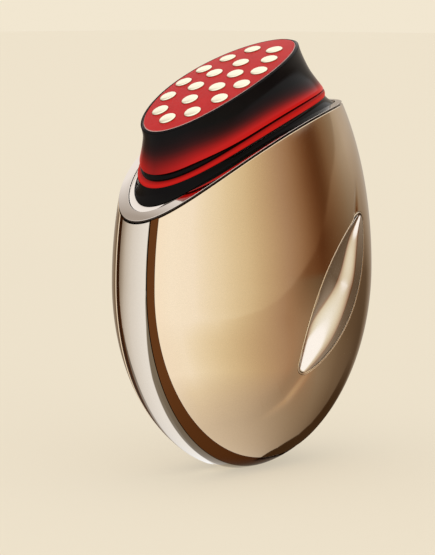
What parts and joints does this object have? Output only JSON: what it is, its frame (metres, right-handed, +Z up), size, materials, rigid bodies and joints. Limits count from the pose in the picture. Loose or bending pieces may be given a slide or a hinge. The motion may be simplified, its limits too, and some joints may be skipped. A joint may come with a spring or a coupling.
{
  "type": "facial massager",
  "caption": "Hand-held facial massager: egg-shaped body on a small flat, slanted head with a red domed face and raised electrodes, leaf-shaped thumb key.",
  "frame": {"origin": "middle of the small resting flat under the body", "axes": "+Z up through the body, +X to the right of the front, where the rim is highest, +Y to the back; the leaf-shaped key faces -Y"},
  "size_m": [0.0734, 0.0428, 0.0965],
  "materials": {
    "champagne_gold": "glossy champagne-gold metallic lacquer over moulded plastic",
    "silver_beige": "glossy silver-beige metallic lacquer",
    "dark_bronze": "dark bronze gloss lacquer",
    "polished_silver": "mirror-polished plating",
    "black_gloss": "gloss black",
    "red_lens": "translucent red lens, lit from inside",
    "smoked_black": "smoked translucent black with a red glow near its base",
    "red_face": "smooth satin red",
    "gold_plated": "pale gold plating, satin polished",
    "circuit_board": "green solder mask",
    "red_clear": "clear red light guide",
    "led_package": "pale moulded package",
    "soft_seal": "soft black rubber and foam",
    "inner_plastic": "moulded dark grey, as moulded",
    "steel": "zinc-plated steel",
    "ribbon": "amber polyimide film",
    "key_champagne": "silvery champagne metallic lacquer",
    "key_trim": "pale gold metallic lacquer",
    "chip_black": "black moulding compound",
    "can_aluminium": "drawn can",
    "cell_foil": "soft foil pouch",
    "lead_red": "red silicone insulation"
  },
  "bodies": {
    "body": {"front_cover": "champagne_gold", "rear_cover": "champagne_gold", "side_band": "silver_beige", "front_trim_ring": "dark_bronze", "rear_trim_ring": "dark_bronze", "top_bezel": "polished_silver", "head_base": "black_gloss", "light_ring": "red_lens", "groove_ring": "black_gloss", "head_shell": "smoked_black", "face_plate": "red_face", "electrodes": "gold_plated", "electrode_board": "circuit_board", "light_guide": "red_clear", "led_board": "circuit_board", "red_leds": "led_package", "head_gasket": "soft_seal", "head_carrier": "inner_plastic", "head_spacers": "steel", "head_screws": "steel", "head_ribbon": "ribbon", "key_trim_ring": "key_trim", "key_carrier": "inner_plastic", "carrier_screws": "steel", "key_board": "circuit_board", "switch_body": "inner_plastic", "inner_frame": "inner_plastic", "frame_screws": "steel", "main_board": "circuit_board", "board_screws": "steel", "control_chip": "chip_black", "step_up_coil": "chip_black", "capacitors": "can_aluminium", "battery": "cell_foil", "battery_pad": "soft_seal", "battery_leads": "lead_red", "motor_cradle": "soft_seal", "motor_can": "can_aluminium", "pin_block": "inner_plastic", "charging_pins": "gold_plated", "dock_magnets": "can_aluminium"},
    "key": {"leaf_key": "key_champagne"},
    "plunger": {"switch_plunger": "inner_plastic"},
    "eccentric": {"motor_weight": "steel"}
  },
  "joints": [
    {"name": "key_press", "type": "slide", "parent": "body", "child": "key", "axis": [0, 1, 0], "range_m": [0, 0.0006], "stiffness_N_per_m": 900, "springref_m": -0.0006},
    {"name": "plunger_press", "type": "slide", "parent": "body", "child": "plunger", "axis": [0, 1, 0], "range_m": [0, 0.0006]},
    {"name": "motor_spin", "type": "hinge", "parent": "body", "child": "eccentric", "pos_m": [0.0055, 0.008, 0.064], "axis": [1, 0, 0], "continuous": true}
  ],
  "couplings": [
    {"joint": "plunger_press", "follows": "key_press", "ratio": 1}
  ]
}
